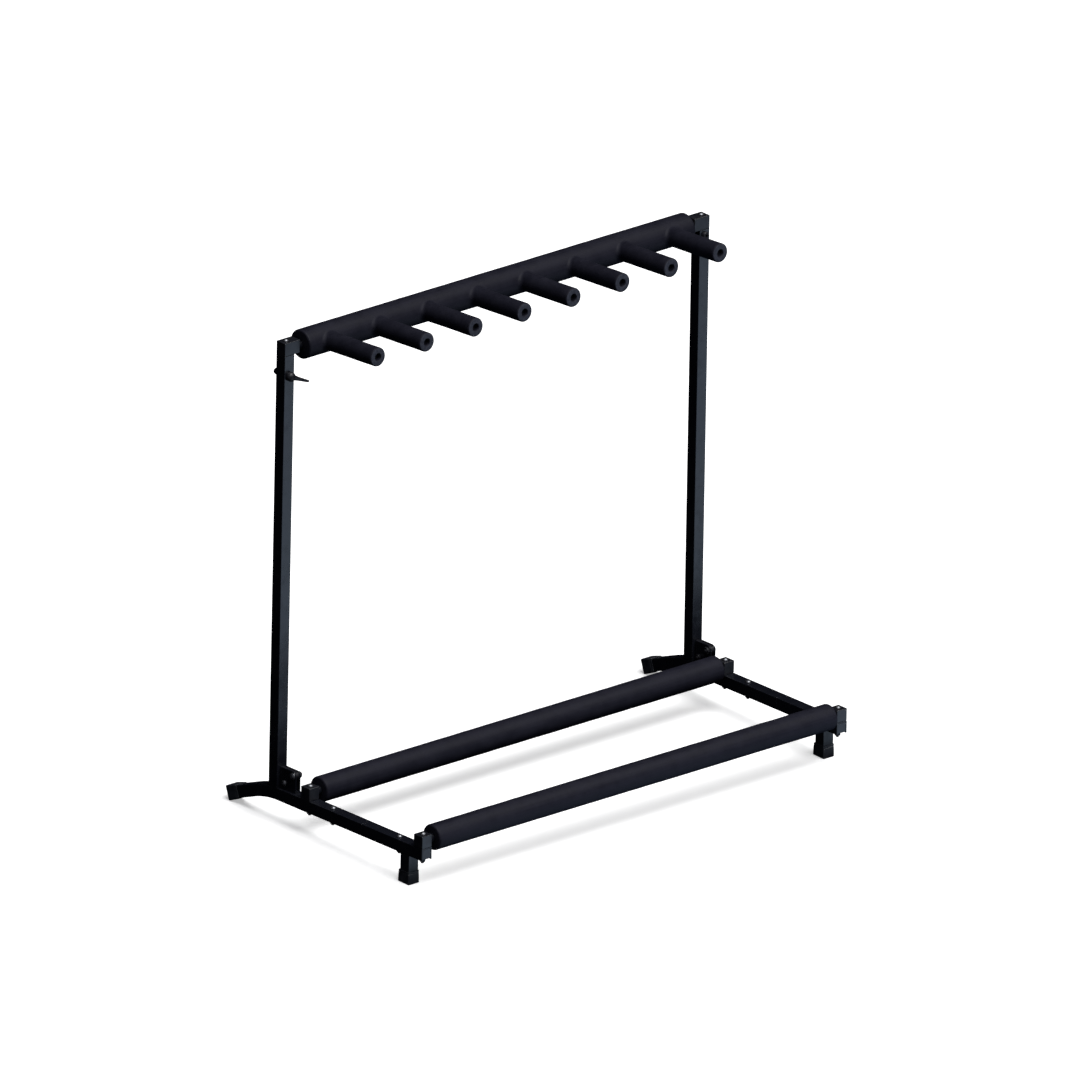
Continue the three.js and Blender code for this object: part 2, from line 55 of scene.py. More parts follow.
body_of = {node: body for body, nodes in behaviour["bodies"].items() for node in nodes}


# ---------------------------------------------------------------- the rack's square frame
def box_through(node, matrix):
    """Lowest and highest corner of a CAD node after its points pass through a matrix."""
    points = [matrix @ vertex.co for vertex in frame["nodes"][node].data.vertices]
    low = Vector(min(point[i] for point in points) for i in range(3))
    high = Vector(max(point[i] for point in points) for i in range(3))
    return low, high


def rack_matrix():
    """From the rack's square frame to the model's: the lean, then the place of the origin."""
    up = Vector(joints["top_bar_lift"]["axis"])
    turn = Matrix.Rotation(-math.atan2(up.y, up.z), 4, "X")
    low, high = box_through("upright_left", turn.inverted())
    rail_top = box_through("front_rail_left", turn.inverted())[1].z
    return turn @ Matrix.Translation((0, (low.y + high.y) / 2, rail_top))


RACK = rack_matrix()
INTO_RACK = RACK.inverted()


def size_of(node):
    return box_through(node, INTO_RACK)


def middle_of(node):
    low, high = size_of(node)
    return (low + high) / 2


def floor_z(y):
    """Height of the floor in the rack's frame."""
    return -(RACK[2][3] + RACK[2][1] * y) / RACK[2][2]


# ---------------------------------------------------------------- dimensions of the looks
TUBE_CORNER = 1.0 * MM  # outer corner radius of the square tubes
TUBE_WALL = 1.5 * MM
TUBE_EDGE = 0.25 * MM  # rounding of a sawn tube end
TONGUE_SLOT_HALF = 2.8 * MM  # half width of the slot in an upright's foot
PLUG_CORNER = 1.0 * MM
PLUG_EDGE = 0.6 * MM
NECK_EDGE = 0.3 * MM
BLOCK_EDGE = 0.8 * MM
BLOCK_CORNER = 0.9 * MM
CORE_EDGE = 0.6 * MM

ARM_BEND = math.radians(20.5)
ARM_BEND_RADIUS = 160 * MM
ARM_BEND_STEPS = 14

FIT = 0.3 * MM
NECK_INSET = 1.8 * MM  # a post's neck is this much slimmer where it enters the rail
BOOT_CORNER = 1.8 * MM
BOOT_LIP = 3.2 * MM  # height of the band round a boot's mouth
BOOT_GROOVE = 0.5 * MM
BOOT_WALL = 0.6 * MM
BOOT_MOUTH_EDGE = 0.4 * MM
BOOT_SOLE_EDGE = 1.2 * MM
CAP_CORNER = 1.8 * MM
CAP_FLOOR = 3 * MM  # rubber beyond the end of the arm
CAP_LENGTH = 24.3 * MM
CAP_MOUTH = 11.2 * MM
CAP_EDGE = 1.6 * MM
CAP_BAND = 3.6 * MM  # height of the band round a cap's mouth
CAP_GROOVE = 0.4 * MM

FOAM_SIDES = 80
FOAM_STEP = 4 * MM
FOAM_EDGE = 3.2 * MM
FOAM_WAVE = 0.22 * MM  # how far the surface of the foam wanders
BORE_EDGE = 0.8 * MM
BORE_DEPTH = 8 * MM  # how far in from its ends a bar sleeve's bore is drawn
SAWN_RING = 5 * MM  # width of the flat sawn ring round that bore
PEG_SIDES = 56
PEG_FILLET = 7.0 * MM
PEG_TILT = math.radians(3.2)
PEG_REACH = 130 * MM
PEG_RADIUS = 15.2 * MM
PEG_BORE = 5.8 * MM
PEG_EDGE = 2.4 * MM
PEG_ROOT_SUNK = 0.6 * MM  # how far a peg's root reaches into the bar's sleeve
PEG_ROOT_STEPS = 8
PEG_SIDE_STEPS = 27
SAWN_AND_LIT_DEPTH = 0.5 * MM  # faces this near the tip get the paler sawn foam, which also carries painted light
STUB_RADIUS = 5.5 * MM
STUB_REACH = 123 * MM

BOLT_SIDES = 24
BOLT_RADIUS = 2.5 * MM
HEAD_RADIUS = 4.6 * MM
HEAD_HEIGHT = 2.8 * MM
NUT_RADIUS = 4.9 * MM
NUT_HEIGHT = 4.2 * MM
BOLT_TAIL = 2.6 * MM  # thread showing beyond a nut
CROWN_TURN = math.radians(62)  # arc of a button head's dome
THREAD_PITCH = 0.8 * MM
CLAMP_NUT_RADIUS = 5.8 * MM
CLAMP_NUT_HEIGHT = 10.5 * MM
CLAMP_DOME_RADIUS = 4.6 * MM
LEVER_BOSS = 7.5 * MM
LEVER_DROOP = math.radians(23.5)
LEVER_ROOT = 2 * MM  # where the arm starts, from the boss's axis
LEVER_LENGTH = 37.5 * MM
LEVER_STEPS = 22
LEVER_TIP_SHARE = 0.06  # share of the arm's length that is rounded off

CORNER_STEPS = 5
EDGE_STEPS = 4
SHARP = math.radians(38)


# ---------------------------------------------------------------- outlines and placing
def circle(radius, sides=BOLT_SIDES):
    turns = [2 * math.pi * i / sides for i in range(sides)]
    return [(radius * math.cos(turn), radius * math.sin(turn)) for turn in turns]


def hexagon(flat, reach=1.0, sides=BOLT_SIDES):
    """Hexagon with the given half width across flats, its corners cut by a circle of that share."""
    limit = reach * flat / math.cos(math.pi / 6)
    outline = []
    for i in range(sides):
        turn = 2 * math.pi * i / sides
        from_flat = (turn % (math.pi / 3)) - math.pi / 6
        radius = min(flat / math.cos(from_flat), limit)
        outline.append((radius * math.cos(turn), radius * math.sin(turn)))
    return outline


def rectangle(half_x, half_y, corner):
    """Rectangle with rounded corners."""
    outline = []
    for quarter, (sx, sy) in enumerate([(1, 1), (-1, 1), (-1, -1), (1, -1)]):
        for step in range(CORNER_STEPS + 1):
            turn = (quarter + step / CORNER_STEPS) * math.pi / 2
            x = sx * (half_x - corner) + corner * math.cos(turn)
            y = sy * (half_y - corner) + corner * math.sin(turn)
            outline.append((x, y))
    return outline


def square(half, corner, inset=0.0):
    return rectangle(half - inset, half - inset, max(corner - inset, 0.3 * MM))


def along_x(y, z):
    return lambda across, up, along: Vector((along, y + across, z + up))


def along_y(x, z):
    return lambda across, up, along: Vector((x + across, along, z + up))


def along_z(x, y):
    return lambda across, up, along: Vector((x + across, y + up, along))


def about(origin, direction):
    """Places a section square to a direction, with distances measured from the origin."""
    turn = Vector(direction).to_track_quat("Z", "Y")
    return lambda across, up, along: Vector(origin) + turn @ Vector((across, up, along))


def rounded_edge(radius, start, sign, steps=EDGE_STEPS):
    """Stations (inset, along) of a rounded edge, from the end face to the full section."""
    turns = [step / steps * math.pi / 2 for step in range(steps + 1)]
    return [
        (radius * (1 - math.sin(turn)), start + sign * radius * (1 - math.cos(turn)))
        for turn in turns
    ]


# ---------------------------------------------------------------- surfaces
def loft(bm, rings, closed=False):
    """Joins rings of equally many points. The first and last ring are filled, or joined."""
    loops = [[bm.verts.new(point) for point in ring] for ring in rings]
    count = len(loops[0])
    follow = loops[1:] + (loops[:1] if closed else [])
    for near, far in zip(loops, follow):
        for i in range(count):
            j = (i + 1) % count
            bm.faces.new((near[i], near[j], far[j], far[i]))
    if not closed:
        bm.faces.new(list(reversed(loops[0])))
        bm.faces.new(loops[-1])


def ring(outline, place, along):
    return [place(across, up, along) for across, up in outline]


def bar(bm, outline, place, start, end, edge):
    """Solid bar whose outline(inset) shrinks round both end faces."""
    stations = rounded_edge(edge, start, 1) + rounded_edge(edge, end, -1)[::-1]
    loft(bm, [ring(outline(inset), place, along) for inset, along in stations])


def tube(bm, outline, place, start, end, wall, edge):
    """Open tube with softened end faces."""
    stations = rounded_edge(edge, start, 1) + rounded_edge(edge, end, -1)[::-1]
    stations += [(wall - edge, end), (wall, end - edge), (wall, start + edge)]
    stations += [(wall - edge, start)]
    rings = [ring(outline(inset), place, along) for inset, along in stations]
    loft(bm, rings, closed=True)


def turned(bm, place, profile, outline=circle):
    """Solid of revolution through (radius, along) stations."""
    loft(bm, [ring(outline(radius), place, along) for radius, along in profile])


def cut_box(mesh, low, high):
    """Takes a box out of a mesh, both in the rack's frame."""
    tool_bm = bmesh.new()
    bmesh.ops.create_cube(tool_bm, size=1.0)
    size, middle = high - low, (low + high) / 2
    for vertex in tool_bm.verts:
        vertex.co = Vector(a * b for a, b in zip(vertex.co, size)) + middle
    tool_mesh = bpy.data.meshes.new("tool")
    tool_bm.to_mesh(tool_mesh)
    tool_bm.free()
    tool = bpy.data.objects.new("tool", tool_mesh)
    target = bpy.data.objects.new("target", mesh)
    for helper in (tool, target):
        bpy.context.scene.collection.objects.link(helper)
    boolean = target.modifiers.new("cut", "BOOLEAN")
    boolean.object = tool
    boolean.solver = "EXACT"
    bpy.context.view_layer.update()
    shaped = target.evaluated_get(bpy.context.evaluated_depsgraph_get())
    result = bpy.data.meshes.new_from_object(shaped)
    for helper in (tool, target):
        bpy.data.objects.remove(helper)
    bpy.data.meshes.remove(tool_mesh)
    return result


def add_piece(bm, node, word, *materials, cuts=(), soft=False):
    """Makes the piece that stands for a CAD node, and lets it ride on that node's body."""
    name = f"{node}_{word}"
    bmesh.ops.recalc_face_normals(bm, faces=bm.faces)
    mesh = bpy.data.meshes.new(name)
    bm.to_mesh(mesh)
    bm.free()
    for low, high in cuts:
        mesh = cut_box(mesh, low, high)
    mesh.name = name
    mesh.shade_smooth()
    mesh.set_sharp_from_angle(angle=SHARP)
    piece = bpy.data.objects.new(name, mesh)
    bpy.context.scene.collection.objects.link(piece)
    piece.matrix_world = RACK
    for material in materials:
        mesh.materials.append(material)
    if not soft:
        even = piece.modifiers.new("even_normals", "WEIGHTED_NORMAL")
        even.keep_sharp = True
    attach(piece, body_of[node])
    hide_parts(node)
    return piece


# ---------------------------------------------------------------- materials
class Graph:
    """A material's node tree, with short calls for what the materials here are made of."""

    def __init__(self, name):
        self.material = bpy.data.materials.new(name)
        self.material.use_nodes = True
        self.tree = self.material.node_tree
        self.shader = self.tree.nodes["Principled BSDF"]
        self.place = self.node("ShaderNodeTexCoord").outputs["Object"]
        self.normal = None

    def node(self, kind, **settings):
        made = self.tree.nodes.new(kind)
        for key, value in settings.items():
            setattr(made, key, value)
        return made

    def join(self, source, target):
        if isinstance(source, bpy.types.NodeSocket):
            self.tree.links.new(source, target)
        else:
            target.default_value = source

    def stretched(self, scale):
        mapping = self.node("ShaderNodeMapping")
        self.join(self.place, mapping.inputs["Vector"])
        mapping.inputs["Scale"].default_value = scale
        return mapping.outputs["Vector"]

    def noise(self, scale, detail=2.0, roughness=0.5, vector=None):
        made = self.node("ShaderNodeTexNoise")
        self.join(vector or self.place, made.inputs["Vector"])
        made.inputs["Scale"].default_value = scale
        made.inputs["Detail"].default_value = detail
        made.inputs["Roughness"].default_value = roughness
        return made.outputs["Fac"]

    def cells(self, scale):
        made = self.node("ShaderNodeTexVoronoi", feature="F1")
        self.join(self.place, made.inputs["Vector"])
        made.inputs["Scale"].default_value = scale
        return made.outputs["Distance"]

    def ranged(self, value, low, high, to_low=0.0, to_high=1.0):
        made = self.node("ShaderNodeMapRange", interpolation_type="SMOOTHSTEP")
        self.join(value, made.inputs["Value"])
        bounds = {"From Min": low, "From Max": high, "To Min": to_low, "To Max": to_high}
        for key, number in bounds.items():
            made.inputs[key].default_value = number
        return made.outputs["Result"]

    def math(self, operation, first, second):
        made = self.node("ShaderNodeMath", operation=operation)
        self.join(first, made.inputs[0])
        self.join(second, made.inputs[1])
        return made.outputs[0]

    def mix(self, share, first, second):
        made = self.node("ShaderNodeMix", data_type="RGBA")
        self.join(share, made.inputs["Factor"])
        for value, index in ((first, 6), (second, 7)):
            colour = value if isinstance(value, bpy.types.NodeSocket) else (*value, 1.0)
            self.join(colour, made.inputs[index])
        return made.outputs[2]

    def bump(self, height, distance, strength=1.0):
        made = self.node("ShaderNodeBump")
        made.inputs["Strength"].default_value = strength
        made.inputs["Distance"].default_value = distance
        self.join(height, made.inputs["Height"])
        if self.normal:
            self.join(self.normal, made.inputs["Normal"])
        self.normal = made.outputs["Normal"]

    def edges(self, radius):
        """1 on edges that get rubbed, 0 on flat stretches."""
        bevel = self.node("ShaderNodeBevel", samples=4)
        bevel.inputs["Radius"].default_value = radius
        geometry = self.node("ShaderNodeNewGeometry")
        dot = self.node("ShaderNodeVectorMath", operation="DOT_PRODUCT")
        self.join(bevel.outputs["Normal"], dot.inputs[0])
        self.join(geometry.outputs["Normal"], dot.inputs[1])
        return self.ranged(dot.outputs["Value"], 0.97, 0.80)

    def finish(self, colour, roughness, **sockets):
        self.join(colour, self.shader.inputs["Base Color"])
        self.join(roughness, self.shader.inputs["Roughness"])
        if self.normal:
            self.join(self.normal, self.shader.inputs["Normal"])
        for name, value in sockets.items():
            self.shader.inputs[name.replace("_", " ")].default_value = value
        return self.material


def foam_material():
    """Closed-cell foam: fine cells, faint lines from the extruder, slow changes of tone."""
    graph = Graph("closed_cell_foam")
    mottle = graph.noise(38, detail=5, roughness=0.6)
    lines = graph.noise(1, detail=3, vector=graph.stretched((4, 420, 420)))
    grain = graph.noise(1500, detail=3, roughness=0.65)
    pores = graph.cells(1100)
    streaks = graph.math("MULTIPLY", lines, 0.4)
    tone = graph.math("ADD", graph.math("MULTIPLY", mottle, 0.6), streaks)
    colour = graph.mix(
        graph.ranged(tone, 0.36, 0.64), (0.0080, 0.0080, 0.0140), (0.0125, 0.0125, 0.0205)
    )
    pits = graph.ranged(pores, 0.06, 0.32)
    colour = graph.mix(pits, (0.0045, 0.0045, 0.0080), colour)
    graph.bump(mottle, 0.5 * MM, 0.35)
    graph.bump(grain, 0.25 * MM, 0.45)
    graph.bump(pits, 0.12 * MM, 0.35)
    roughness = graph.ranged(tone, 0.3, 0.7, 0.5, 0.66)
    return graph.finish(colour, roughness, Specular_IOR_Level=0.12)


def cut_foam_painted_light_material():
    """Sawn end of a foam sleeve: the open cells look a little paler, and the colour is lifted much
    further as painted light where the peg tips face the lamps.
    """
    graph = Graph("cut_foam_painted_light")
    mottle = graph.noise(240, detail=4, roughness=0.6)
    pits = graph.ranged(graph.cells(1300), 0.05, 0.4)
    # these tones are several times paler than the foam's own: partly the open cells, mostly painted
    # light on the forward-facing tips
    colour = graph.mix(
        graph.ranged(mottle, 0.35, 0.65), (0.026, 0.029, 0.042), (0.044, 0.048, 0.066)
    )
    colour = graph.mix(pits, (0.012, 0.013, 0.02), colour)
    graph.bump(pits, 0.2 * MM, 0.5)
    return graph.finish(colour, 0.8, Specular_IOR_Level=0.15)


def paint_material(name, shine=0.2):
    """Gloss paint over steel: orange peel, smudges, and edges rubbed a little lighter."""
    graph = Graph(name)
    cloud = graph.noise(24, detail=4, roughness=0.55)
    peel = graph.noise(420, detail=1.5)
    speck = graph.noise(2600, detail=1)
    rub = graph.math("MULTIPLY", graph.edges(0.7 * MM), graph.ranged(speck, 0.48, 0.62))
    rub = graph.math("MULTIPLY", rub, graph.ranged(cloud, 0.42, 0.6))
    colour = graph.mix(
        graph.ranged(cloud, 0.3, 0.7), (0.0050, 0.0056, 0.0088), (0.0068, 0.0076, 0.0118)
    )
    colour = graph.mix(graph.math("MULTIPLY", rub, 0.12), colour, (0.07, 0.075, 0.085))
    graph.bump(peel, 0.12 * MM, 0.35)
    smudge = graph.ranged(graph.noise(70, detail=5, roughness=0.65), 0.4, 0.75, 0.0, 0.14)
    roughness = graph.math("ADD", smudge, shine)
    return graph.finish(colour, roughness, Specular_IOR_Level=0.95)


def rubber_material():
    """Moulded rubber with a fine sandy face and dust low down by the floor."""
    graph = Graph("moulded_rubber")
    sand = graph.noise(1900, detail=2)
    cloud = graph.noise(90, detail=4)
    split = graph.node("ShaderNodeSeparateXYZ")
    graph.join(graph.place, split.inputs["Vector"])
    height = graph.ranged(split.outputs["Z"], -68 * MM, -58 * MM, 1.0, 0.0)
    dust = graph.math("MULTIPLY", height, graph.ranged(cloud, 0.45, 0.7))
    colour = graph.mix(
        graph.ranged(cloud, 0.3, 0.7), (0.0095, 0.0112, 0.0165), (0.0145, 0.0168, 0.0235)
    )
    colour = graph.mix(graph.math("MULTIPLY", dust, 0.3), colour, (0.06, 0.057, 0.052))
    graph.bump(cloud, 0.3 * MM, 0.2)
    graph.bump(sand, 0.15 * MM, 0.4)
    roughness = graph.ranged(cloud, 0.3, 0.7, 0.36, 0.5)
    return graph.finish(colour, roughness, Specular_IOR_Level=0.85)


def metal_material(name, dark, light, low, high, metallic):
    """Plated or blackened steel with brushed lines and slow stains."""
    graph = Graph(name)
    stain = graph.noise(320, detail=4, roughness=0.6)
    scratch = graph.noise(1, detail=2, vector=graph.stretched((2600, 300, 300)))
    colour = graph.mix(graph.ranged(stain, 0.3, 0.7), dark, light)
    graph.bump(scratch, 0.05 * MM, 0.4)
    roughness = graph.ranged(stain, 0.3, 0.7, low, high)
    return graph.finish(colour, roughness, Metallic=metallic)


foam = foam_material()
cut_foam_painted_light = cut_foam_painted_light_material()
paint = paint_material("gloss_black_paint")
block_paint = paint_material("block_paint", shine=0.34)
rubber = rubber_material()
zinc = metal_material("zinc_plate", (0.13, 0.135, 0.15), (0.24, 0.245, 0.26), 0.36, 0.52, 1.0)
black_steel = metal_material(
    "blackened_steel", (0.008, 0.008, 0.011), (0.018, 0.018, 0.023), 0.32, 0.5, 0.35
)


# ---------------------------------------------------------------- tubes and blocks
def square_tube(half, corner):
    return lambda inset: square(half, corner, inset)


def post_box(side):
    """Corners of the part of a front foot that shows below the rail."""
    rail_bottom = size_of(f"front_rail_{side}")[0].z
    vertices = frame["nodes"][f"front_foot_{side}"].data.vertices
    points = [INTO_RACK @ vertex.co for vertex in vertices]
    points = [point for point in points if point.z < rail_bottom - FIT / 2]
    low = Vector(min(point[i] for point in points) for i in range(3))
    high = Vector(max(point[i] for point in points) for i in range(3))
    return low, high


def make_front_rail(side):
    node = f"front_rail_{side}"
    low, high = size_of(node)
    middle = (low + high) / 2
    post_low, post_high = post_box(side)
    bm = bmesh.new()
    outline = square_tube((high.x - low.x) / 2, TUBE_CORNER)
    place = along_y(middle.x, middle.z)
    tube(bm, outline, place, low.y, high.y, TUBE_WALL, TUBE_EDGE)
    slot_low = Vector((post_low.x + NECK_INSET - FIT, low.y - TUBE_WALL, low.z - TUBE_WALL))
    slot_end = post_high.y - NECK_INSET + FIT
    slot_high = Vector((post_high.x - NECK_INSET + FIT, slot_end, low.z + 2 * TUBE_WALL))
    add_piece(bm, node, "tube", paint, cuts=[(slot_low, slot_high)])


def make_rear_rail(side):
    """Square tube that runs back along the side and bends down in a long curve to the floor."""
    node = f"rear_rail_{side}"
    low, high = size_of(node)
    half = (high.x - low.x) / 2
    x, mid_z = (low.x + high.x) / 2, high.z - half
    drop = mid_z - low.z - half * math.cos(ARM_BEND)
    reach = drop / math.sin(ARM_BEND)
    corner_y = high.y - reach * math.cos(ARM_BEND) - half * math.sin(ARM_BEND)
    tangent = ARM_BEND_RADIUS * math.tan(ARM_BEND / 2)
    arc = ARM_BEND_RADIUS * ARM_BEND
    bend_start = corner_y - tangent - low.y

    def place(across, up, along):
        beyond = along - bend_start
        turn = min(max(beyond / arc, 0), 1) * ARM_BEND
        straight = max(beyond - arc, 0)
        y = low.y + min(along, bend_start) + ARM_BEND_RADIUS * math.sin(turn)
        z = mid_z - ARM_BEND_RADIUS * (1 - math.cos(turn))
        y += straight * math.cos(turn) + up * math.sin(turn)
        z += up * math.cos(turn) - straight * math.sin(turn)
        return Vector((x + across, y, z))

    length = bend_start + arc + reach - tangent
    bends = [bend_start + arc * step / ARM_BEND_STEPS for step in range(ARM_BEND_STEPS + 1)]
    outer = rounded_edge(TUBE_EDGE, 0, 1) + [(0, along) for along in bends]
    outer += rounded_edge(TUBE_EDGE, length, -1)[::-1]
    inner = [(TUBE_WALL - TUBE_EDGE, length), (TUBE_WALL, length - TUBE_EDGE)]
    inner += [(TUBE_WALL, along) for along in reversed(bends)]
    inner += [(TUBE_WALL, TUBE_EDGE), (TUBE_WALL - TUBE_EDGE, 0)]
    rings = [ring(square(half, TUBE_CORNER, inset), place, along) for inset, along in outer + inner]
    bm = bmesh.new()
    loft(bm, rings, closed=True)
    add_piece(bm, node, "tube", paint)
    return Vector((x, corner_y, mid_z)), half, reach


def make_upright(side):
    node = f"upright_{side}"
    low, high = size_of(node)
    middle = (low + high) / 2
    tongue_top = size_of(f"bracket_{side}")[1].z
    bm = bmesh.new()
    outline = square_tube((high.x - low.x) / 2, TUBE_CORNER)
    place = along_z(middle.x, middle.y)
    tube(bm, outline, place, low.z, high.z, TUBE_WALL, TUBE_EDGE)
    slot_low = Vector((middle.x - TONGUE_SLOT_HALF, low.y - TUBE_WALL, low.z - TUBE_WALL))
    slot_high = Vector((middle.x + TONGUE_SLOT_HALF, low.y + 2 * TUBE_WALL, tongue_top))
    add_piece(bm, node, "tube", paint, cuts=[(slot_low, slot_high)])


def make_block(node):
    """End block of a bar, with softened edges."""
    low, high = size_of(node)
    middle, half = (low + high) / 2, (high - low) / 2
    bm = bmesh.new()
    bar(
        bm,
        lambda inset: rectangle(half.x - inset, half.y - inset, BLOCK_CORNER),
        along_z(middle.x, middle.y),
        low.z,
        high.z,
        BLOCK_EDGE,
    )
    add_piece(bm, node, "block", block_paint)


def make_core(node, stubs=()):
    """Steel core of a bar. The top one has a welded stub for each peg."""
    low, high = size_of(node)
    centre = middle_of(node.replace("core", "foam"))
    radius = high.y - centre.y
    y, z = centre.y, centre.z
    bm = bmesh.new()
    outline = lambda inset: circle(radius - inset, 48)
    bar(bm, outline, along_x(y, z), low.x, high.x, CORE_EDGE)
    for x in stubs:
        place = about((x, y, z), (0, -math.cos(PEG_TILT), math.sin(PEG_TILT)))
        stub = lambda inset: circle(STUB_RADIUS - inset, 32)
        bar(bm, stub, place, 0, STUB_REACH, CORE_EDGE)
    add_piece(bm, node, "steel", paint)


# ---------------------------------------------------------------- feet
def make_rear_cap(side, corner, arm_half, reach):
    """Flared rubber cap on the arm's end, with a band round its mouth and a worn flat below."""
    node = f"rear_cap_{side}"
    low, high = size_of(node)
    end_half = (high.x - low.x) / 2
    end = reach + CAP_FLOOR
    start = end - CAP_LENGTH
    forward = Vector((0, math.cos(ARM_BEND), -math.sin(ARM_BEND)))
    upward = Vector((0, math.sin(ARM_BEND), math.cos(ARM_BEND)))

    def section(inset, along):
        share = (along - start) / CAP_LENGTH
        half = CAP_MOUTH + (end_half - CAP_MOUTH) * share - inset
        outline = rectangle(half, half, max(CAP_CORNER - inset, 0.4 * MM))
        return [corner + Vector((a, 0, 0)) + upward * u + forward * along for a, u in outline]

    wall = CAP_MOUTH - arm_half - FIT
    stations = [(wall, start + 5 * MM), (wall, start + 0.3 * MM), (wall - 0.3 * MM, start)]
    stations += rounded_edge(0.5 * MM, start, 1)
    band_end = start + CAP_BAND
    stations += [(0, band_end - CAP_GROOVE), (CAP_GROOVE, band_end)]
    stations += [(CAP_GROOVE, band_end + CAP_GROOVE), (0, band_end + 0.9 * MM)]
    stations += [(0, start + CAP_LENGTH * share) for share in (0.4, 0.6, 0.8)]
    stations += rounded_edge(CAP_EDGE, end, -1)[::-1]
    bm = bmesh.new()
    loft(bm, [section(inset, along) for inset, along in stations])
    long_edges = [edge for edge in bm.edges if edge.calc_length() > 3 * MM]
    bmesh.ops.subdivide_edges(bm, edges=long_edges, cuts=3, use_grid_fill=True)
    for vertex in bm.verts:
        vertex.co.z = max(vertex.co.z, floor_z(vertex.co.y))
    add_piece(bm, node, "cap", rubber)


def make_front_foot(side):
    """Plug in the rail's front end, and under it a post with a slimmer neck through the rail."""
    node = f"front_foot_{side}"
    low, high = size_of(node)
    rail = middle_of(f"front_rail_{side}")
    post_low, post_high = post_box(side)
    middle, half = (post_low + post_high) / 2, (post_high - post_low) / 2
    plug = half.x - NECK_INSET
    bm = bmesh.new()
    bar(bm, square_tube(plug, PLUG_CORNER), along_y(rail.x, rail.z), low.y, high.y, PLUG_EDGE)
    place = along_z(middle.x, middle.y)
    bar(bm, square_tube(plug, PLUG_CORNER), place, post_high.z - 1 * MM, rail.z, NECK_EDGE)
    bar(bm, square_tube(half.x, TUBE_CORNER), place, post_low.z, post_high.z, TUBE_EDGE)
    add_piece(bm, node, "post", block_paint)


def make_boot(side):
    """Rubber boot: a band round its mouth, a groove, then a flare down to a rounded sole."""
    node = f"boot_{side}"
    low, high = size_of(node)
    x = (low.x + high.x) / 2
    top = {"front": low.y + 0.6 * MM, "rear": high.y - 1.4 * MM, "half": high.x - x - 0.1 * MM}
    foot = {"front": low.y, "rear": high.y, "half": high.x - x}

    def section(share, inset):
        """Ring at a share of the way from the mouth down to the floor."""
        sides = {key: top[key] + (foot[key] - top[key]) * share for key in top}
        half_y = (sides["rear"] - sides["front"]) / 2
        mid_y = (sides["rear"] + sides["front"]) / 2
        outline = rectangle(
            sides["half"] - inset, half_y - inset, max(BOOT_CORNER - inset, 0.4 * MM)
        )
        points = []
        for across, along in outline:
            y = mid_y + along
            z = high.z + (floor_z(y) - high.z) * share
            points.append(Vector((x + across, y, z)))
        return points

    depth = high.z - floor_z((low.y + high.y) / 2)
    inside = BOOT_WALL + 0.2 * MM
    stations = [(5 * MM / depth, inside), (0.3 * MM / depth, inside), (0, BOOT_WALL)]
    mouth = rounded_edge(BOOT_MOUTH_EDGE, 0, 1)
    stations += [(along / depth, inset) for inset, along in mouth]
    lip = BOOT_LIP / depth
    groove = BOOT_GROOVE / depth
    stations += [(lip - groove, 0), (lip, BOOT_GROOVE), (lip + groove, BOOT_GROOVE)]
    stations += [(lip + 2 * groove, 0), (0.45, 0), (0.7, 0)]
    sole = rounded_edge(BOOT_SOLE_EDGE, 0, 1)[::-1]
    stations += [(1 - along / depth, inset) for inset, along in sole]
    dish = 1 - 0.8 * MM / depth
    stations += [(1, 2.4 * MM), (dish, 3.0 * MM), (dish, 7 * MM)]
    bm = bmesh.new()
    loft(bm, [section(share, inset) for share, inset in stations])
    add_piece(bm, node, "shell", rubber)


# ---------------------------------------------------------------- foam
def soften(bm, centre, bore):
    """Lets a foam surface wander a little, as soft foam does, and keeps its bore round."""
    bm.normal_update()
    for vertex in bm.verts:
        wave = noise.noise(vertex.co * 28.0) + 0.5 * noise.noise(vertex.co * 75.0)
        outward = vertex.co - Vector((vertex.co.x, centre.y, centre.z))
        if outward.length > bore + 1 * MM:
            vertex.co += vertex.normal * (wave * FOAM_WAVE)


def make_bar_sleeve(node, centre):
    low, high = size_of(node)
    radius = (high.z - low.z) / 2
    bore = size_of(node.replace("foam", "core"))[1].y - centre.y + FIT
    steps = round((high.x - low.x - 2 * FOAM_EDGE) / FOAM_STEP)
    first, last = low.x + FOAM_EDGE, high.x - FOAM_EDGE
    stations = [(bore, low.x + BORE_DEPTH), (bore, low.x + BORE_EDGE)]
    stations += [(bore + BORE_EDGE, low.x), (bore + SAWN_RING, low.x)]
    edge = rounded_edge(FOAM_EDGE, 0, 1, steps=8)
    stations += [(radius - inset, low.x + along) for inset, along in edge]
    stations += [(radius, first + (last - first) * i / steps) for i in range(1, steps)]
    stations += [(radius - inset, high.x - along) for inset, along in edge[::-1]]
    stations += [(bore + SAWN_RING, high.x), (bore + BORE_EDGE, high.x)]
    stations += [(bore, high.x - BORE_EDGE), (bore, high.x - BORE_DEPTH)]
    place = along_x(centre.y, centre.z)
    bm = bmesh.new()
    rings = [ring(circle(radius, FOAM_SIDES), place, along) for radius, along in stations]
    loft(bm, rings, closed=True)
    soften(bm, centre, bore)
    sleeve = add_piece(bm, node, "sleeve", foam, soft=True)


